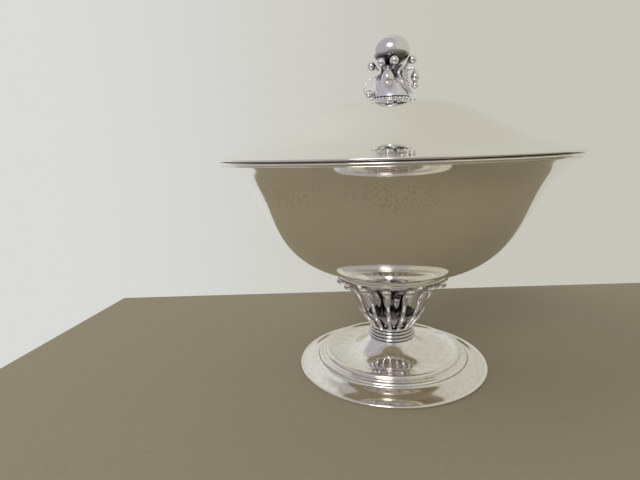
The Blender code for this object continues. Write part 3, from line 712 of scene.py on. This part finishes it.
def finial_base():
    half = (RING_TOP - RING_BASE) / 2
    build = Builder()
    inner = [Vector((STUD_HOLE, RING_BASE))]
    outline = inner + arc((RING_RADIUS - 1.1 * MM, RING_BASE + half), half, -90, 90, 10)
    outline += [Vector((STUD_HOLE, RING_TOP))]
    build.add(turned_mesh, outline, SMALL_STEPS)
    size = 0.62 * MM
    for k in range(GRANULE_COUNT):
        angle = FRONT + k * 360.0 / GRANULE_COUNT
        place = around(angle, RING_RADIUS - size, RING_BASE + size - 0.05 * MM)
        build.add(ball_mesh, place, size, tall=0.9)
    build.piece("finial_granule_ring", GRAINED, "lid", ["finial_base_ring"])


def pedestal():
    """Bell-shaped pedestal, bored from below for the stud."""
    hole_top = PEDESTAL_BASE + 3.7 * MM
    flare = PEDESTAL_RADIUS - WAIST
    tall = PEDESTAL_TOP - PEDESTAL_BASE
    shares = ((1.0, 0.0), (0.97, 0.05), (0.95, 0.16), (0.93, 0.31), (0.86, 0.45), (0.62, 0.58),
              (0.26, 0.70), (0.04, 0.82), (0.0, 1.0))
    side = spline([(WAIST + r * flare, PEDESTAL_BASE + z * tall) for r, z in shares], 80)
    outline = [Vector((0, hole_top)), Vector((STUD_HOLE, hole_top)), Vector((STUD_HOLE, PEDESTAL_BASE))]
    outline += side + [Vector((0, PEDESTAL_TOP))]
    turned("finial_bell", outline, BELL, "lid", ["finial_pedestal"], SMALL_STEPS, closed=False)


def fruit():
    """Ball with its widest ring a little below the middle of its height."""
    outline = [Vector((0, FRUIT_BOTTOM))]
    steps = 60
    for k in range(1, steps):
        angle = -math.pi / 2 + math.pi * k / steps
        tall = FRUIT_TOP - FRUIT_MIDDLE if angle > 0 else FRUIT_MIDDLE - FRUIT_BOTTOM
        outline.append(Vector((FRUIT_RADIUS * math.cos(angle), FRUIT_MIDDLE + tall * math.sin(angle))))
    outline.append(Vector((0, FRUIT_TOP)))
    turned("finial_fruit_dome", outline, FRUIT, "lid", ["finial_fruit"], SMALL_STEPS, closed=False)


def berry(number, angle, reach, drop):
    centre_z = FRUIT_MIDDLE - drop
    start = WAIST + 1.0 * MM
    start_z = FRUIT_BOTTOM - 2.0 * MM
    points = [around(angle, start + out * (reach - start), start_z + up * (centre_z - start_z))
              for out, up in ((0.0, 0.0), (0.28, 0.50), (0.60, 0.84), (0.85, 0.97))]
    path = spline(points, 20)
    path, radii = bead_end(path, [0.5 * MM] * len(path), around(angle, reach, centre_z), BERRY_RADIUS)
    build = Builder()
    build.add(rod_mesh, path, radii, sides=28)
    build.piece(f"berry_{number}", CAST, "lid", [f"finial_berry_{number}"], sharp=60)


POD_REACH = 9.5 * MM


def pod(number, angle, radius, length, tip_radius=0.0):
    """Drop-shaped pod on an arched stem, plain or with a bead at its tip."""
    top = FRUIT_MIDDLE - 7.7 * MM
    arch = [around(angle, POD_REACH - inward * MM, top + up * MM)
            for inward, up in ((4.6, -1.6), (3.1, 0.0), (1.4, 0.7), (0.35, 0.45))]
    path = spline(arch, 20)
    radii = [0.5 * MM] * len(path)
    steps = 44
    for k in range(1, steps + 1):
        share = k / steps
        path.append(around(angle, POD_REACH, top - share * length))
        radii.append(max(0.5 * MM * (share < 0.2), radius * math.sin(math.pi * share ** 1.12) ** 0.62)
                     if k < steps else 0.0)
    if tip_radius:
        path, radii = path[:-2], radii[:-2]
        bead = around(angle, POD_REACH, top - length - 0.6 * tip_radius)
        path, radii = bead_end(path, radii, bead, tip_radius)
    build = Builder()
    build.add(rod_mesh, path, radii, sides=36)
    build.piece(f"pod_{number}", CAST, "lid", [f"finial_pod_{number}"], sharp=60)


def leaf(number, angle):
    """Upright leaf laid against the bell's side."""
    base_z = PEDESTAL_BASE + 4.8 * MM
    points = [around(angle, PEDESTAL_RADIUS + out * MM, base_z + up * MM)
              for out, up in ((0.25, 0.0), (0.15, 2.5), (-0.2, 5.2))]
    path = spline(points, 30)
    radii = [1.7 * MM * math.sin(math.pi * (0.03 + 0.95 * i / 29)) ** 0.7 for i in range(30)]
    build = Builder()
    build.add(rod_mesh, path, radii, sides=24, flatten=0.24)
    build.piece(f"leaf_{number}", SHADED, "lid", [f"finial_leaf_{number}"], sharp=60)


def tendril(number, turn):
    """Curled rod round the bell, from the stems down to its foot."""
    points = []
    for angle, out, drop in ((-61, 0.3, 7.3), (-72, 1.2, 9.6), (-66, 1.3, 12.0),
                             (-49, 1.3, 14.2), (-32, 1.0, 15.9), (-16, 0.9, 16.9)):
        points.append(around(angle + turn, PEDESTAL_RADIUS + out * MM, FRUIT_MIDDLE - drop * MM))
    path = spline(points, 60)
    radii = [0.62 * MM * (0.6 + 0.4 * math.sin(math.pi * (0.1 + 0.8 * i / 59))) for i in range(60)]
    build = Builder()
    build.add(rod_mesh, path, radii, sides=20)
    build.piece(f"tendril_{number}", CAST, "lid", [f"finial_tendril_{number}"], sharp=60)


def wire_loop():
    """Thin wire from the bell that ends in a bead."""
    points = []
    for angle, out, drop in ((186, -2.2, 9.7), (186, 0.4, 10.1), (186, 2.6, 12.1),
                             (187, 3.8, 14.7), (188, 3.5, 16.0)):
        points.append(around(angle, PEDESTAL_RADIUS + out * MM, FRUIT_MIDDLE - drop * MM))
    path = spline(points, 40)
    bead = around(190, PEDESTAL_RADIUS + 1.85 * MM, FRUIT_MIDDLE - 16.4 * MM)
    path, radii = bead_end(path, [0.20 * MM] * len(path), bead, BERRY_RADIUS - 0.1 * MM)
    build = Builder()
    build.add(rod_mesh, path, radii, sides=16)
    build.piece("wire_loop", CAST, "lid", ["finial_wire_loop"], sharp=60)


# Angle in degrees, reach from the axis and drop below the fruit's middle in millimetres.
BERRY_PLACES = ((-83, 8.4, 4.9), (-119, 8.4, 5.3), (-177, 8.2, 5.5),
                (97, 8.4, 4.9), (61, 8.4, 5.3), (-7, 8.4, 3.8))


def finial():
    finial_base()
    pedestal()
    fruit()
    for number, (angle, reach, drop) in enumerate(BERRY_PLACES, 1):
        berry(number, angle, reach * MM, drop * MM)
    pod(1, -99, 2.5 * MM, 7.4 * MM)
    pod(2, 81, 2.5 * MM, 7.4 * MM)
    pod(3, -6, 1.8 * MM, 5.2 * MM, tip_radius=1.5 * MM)
    for number, turn in enumerate((0, 180), 1):
        leaf(number, -46 + turn)
        tendril(number, turn)
    wire_loop()
    for name in ("finial_stud", "finial_nut"):
        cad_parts[name].data.materials.clear()
        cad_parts[name].data.materials.append(CAST)


# ---------------------------------------------------------------- stage, light and camera

TABLE = ((-0.1825, 0.077), (-0.1825, -1.4), (1.1, -1.4), (1.1, 0.272))     # corners (x, y)
TABLE_THICKNESS = 0.03
CLOTH_DARK = (0.285, 0.247, 0.165)
CLOTH_PALE = (0.345, 0.300, 0.203)


def stage():
    """Plain tabletop that ends just behind the bowl."""
    count = len(TABLE)
    verts = [(x, y, z) for z in (0, -TABLE_THICKNESS) for x, y in TABLE]
    faces = [tuple(range(count)), tuple(range(2 * count - 1, count - 1, -1))]
    faces += [(k, k + count, (k + 1) % count + count, (k + 1) % count) for k in range(count)]
    mesh = bpy.data.meshes.new("tabletop")
    mesh.from_pydata(verts, [], faces)
    top = bpy.data.objects.new("tabletop", mesh)
    bpy.context.collection.objects.link(top)
    cloth = bpy.data.materials.new("tabletop")
    cloth.use_nodes = True
    shader = cloth.node_tree.nodes["Principled BSDF"]
    shader.inputs["Roughness"].default_value = 0.85
    tree = cloth.node_tree
    weave = node(tree, "ShaderNodeTexNoise")
    weave.inputs["Scale"].default_value = 700.0
    weave.inputs["Detail"].default_value = 2.0
    tree.links.new(node(tree, "ShaderNodeTexCoord").outputs["Object"], weave.inputs["Vector"])
    mixed = node(tree, "ShaderNodeMix", data_type="RGBA")
    mixed.inputs["A"].default_value = (*CLOTH_DARK, 1)
    mixed.inputs["B"].default_value = (*CLOTH_PALE, 1)
    tree.links.new(weave.outputs["Fac"], mixed.inputs["Factor"])
    tree.links.new(mixed.outputs["Result"], shader.inputs["Base Color"])
    mesh.materials.append(cloth)


def heading(azimuth, elevation):
    """Unit vector toward a direction; azimuth 0 is the front, positive to the right."""
    a, e = math.radians(azimuth), math.radians(elevation)
    return Vector((math.sin(a) * math.cos(e), -math.cos(a) * math.cos(e), math.sin(e)))


WALL_LEFT = (0.70, 0.71, 0.69)
WALL_RIGHT = (0.575, 0.565, 0.505)
FRONT_GREY = (0.46, 0.44, 0.48)
WINDOW_LIGHT = (5.4, 5.5, 5.6)


def room():
    """Pale walls, a lavender-grey area in front and above, and one soft window on the left."""
    world = bpy.data.worlds.new("room")
    bpy.context.scene.world = world
    world.use_nodes = True
    tree = world.node_tree
    link = tree.links.new
    ray = node(tree, "ShaderNodeTexCoord").outputs["Generated"]

    def toward(azimuth, elevation, outer, inner):
        """1 within `inner` degrees of a direction, falling to 0 at `outer` degrees."""
        dot = node(tree, "ShaderNodeVectorMath", operation="DOT_PRODUCT")
        dot.inputs[1].default_value = heading(azimuth, elevation)
        link(ray, dot.inputs[0])
        edge, core = math.cos(math.radians(outer)), math.cos(math.radians(inner))
        return ranged(tree, dot.outputs["Value"], edge, core, 0, 1)

    def mixed(under, colour, amount):
        made = node(tree, "ShaderNodeMix", data_type="RGBA")
        link(amount, made.inputs["Factor"])
        if isinstance(under, tuple):
            made.inputs["A"].default_value = (*under, 1)
        else:
            link(under, made.inputs["A"])
        made.inputs["B"].default_value = (*colour, 1)
        return made.outputs["Result"]

    wall = mixed(WALL_LEFT, WALL_RIGHT, toward(110, 0, 110, 60))
    front = mixed(wall, FRONT_GREY, toward(-45, 6, 80, 68))
    above = mixed(front, FRONT_GREY, toward(-46, 40, 66, 52))
    window = mixed(above, WINDOW_LIGHT, toward(-13, 37, 14, 8))
    sky = tree.nodes["Background"]
    link(window, sky.inputs["Color"])


def lamp(name, azimuth, elevation, distance, size, power):
    """Soft area light aimed at the bowl; azimuth 0 is the front, positive to the right."""
    light = bpy.data.lights.new(name, "AREA")
    light.shape = "RECTANGLE"
    light.size, light.size_y = size
    light.energy = power
    light.specular_factor = 0.0
    holder = bpy.data.objects.new(name, light)
    bpy.context.collection.objects.link(holder)
    back = heading(azimuth, elevation)
    holder.location = Vector((0, 0, 0.08)) + back * distance
    holder.rotation_euler = back.to_track_quat("Z", "Y").to_euler()
    holder.visible_glossy = False


CAMERA_PLACE = Vector((0.0, -0.1989, 0.0973))
CAMERA_PAN = 9.12                 # degrees to the left of the bowl's axis
CAMERA_TILT = -11.42              # degrees, downward
CAMERA_ROLL = -1.83               # degrees
CAMERA_LENS = 25.59               # mm on a 36 mm wide frame


def camera():
    lens = bpy.data.cameras.new("camera")
    lens.lens = CAMERA_LENS
    lens.sensor_width = 36.0
    lens.clip_start = 0.01
    holder = bpy.data.objects.new("camera", lens)
    bpy.context.collection.objects.link(holder)
    turn = (Matrix.Rotation(math.radians(CAMERA_PAN), 4, "Z")
            @ Matrix.Rotation(math.radians(90 + CAMERA_TILT), 4, "X")
            @ Matrix.Rotation(math.radians(CAMERA_ROLL), 4, "Z"))
    holder.matrix_world = Matrix.Translation(CAMERA_PLACE) @ turn
    bpy.context.scene.camera = holder


foot()
neck()
cage()
seat()
bowl()
lid()
finial()
stage()
room()
lamp("side_light", azimuth=-62, elevation=48, distance=0.8, size=(0.4, 0.4), power=1.5)
camera()
bpy.context.scene.view_settings.view_transform = "Standard"
